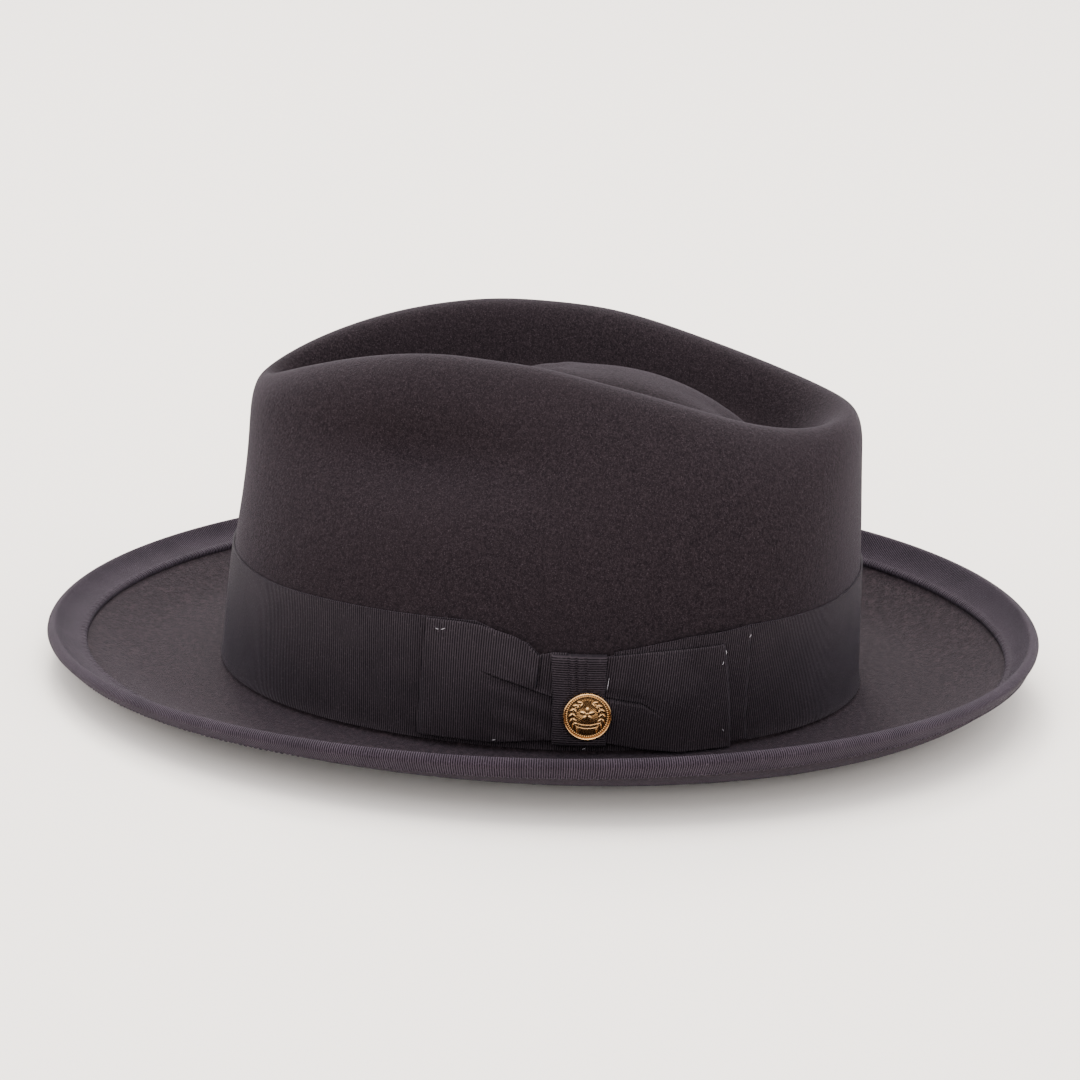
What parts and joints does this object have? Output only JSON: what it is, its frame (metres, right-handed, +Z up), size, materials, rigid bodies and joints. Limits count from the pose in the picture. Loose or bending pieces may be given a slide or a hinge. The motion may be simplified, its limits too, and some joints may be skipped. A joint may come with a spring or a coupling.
{
  "type": "fedora hat",
  "caption": "Teardrop-crowned fur felt fedora with grosgrain band and side bow, bound curled brim, small turning round badge, leather sweatband and satin lining.",
  "frame": {"origin": "middle of the hat's box in plan, on the surface that the hat stands on brim down", "axes": "+Z up through the crown, -Y towards the hat's front, +X towards the wearer's left, where the bow is"},
  "size_m": [0.2884, 0.3197, 0.1129],
  "materials": {
    "fur_felt": "brushed charcoal fur felt with a short nap",
    "binding_grosgrain": "ribbed grosgrain, satin",
    "band_grosgrain": "ribbed grosgrain, satin",
    "sweatband_leather": "smooth roan leather, satin",
    "reed_vinyl": "covered reed",
    "cotton_tape": "woven cotton tape",
    "satin_ribbon": "satin ribbon",
    "size_tab_cloth": "blank woven tab",
    "lining_satin": "satin weave",
    "lining_piping": "corded satin piping",
    "clear_vinyl": "clear flexible sheet",
    "badge_brass": "struck and polished",
    "clutch_brass": "satin"
  },
  "bodies": {
    "hat": {"felt_body": "fur_felt", "brim_binding": "binding_grosgrain", "hat_band": "band_grosgrain", "bow_tail": "band_grosgrain", "bow_front_loop": "band_grosgrain", "bow_rear_loop": "band_grosgrain", "bow_knot": "band_grosgrain", "sweatband_leather": "sweatband_leather", "sweatband_reed": "reed_vinyl", "sweatband_tape": "cotton_tape", "sweatband_stay": "cotton_tape", "seam_bow_left": "satin_ribbon", "seam_bow_right": "satin_ribbon", "seam_bow_knot": "satin_ribbon", "size_tab": "size_tab_cloth", "lining_wall": "lining_satin", "lining_tip": "lining_satin", "lining_piping": "lining_piping", "tip_shield": "clear_vinyl"},
    "badge": {"badge_face": "badge_brass", "badge_post": "badge_brass", "badge_clutch": "clutch_brass"}
  },
  "joints": [
    {"name": "badge_turn", "type": "hinge", "parent": "hat", "child": "badge", "pos_m": [0.08185, 0.02615, 0.0156], "axis": [0.9823, 0.184, 0.0347], "continuous": true}
  ]
}
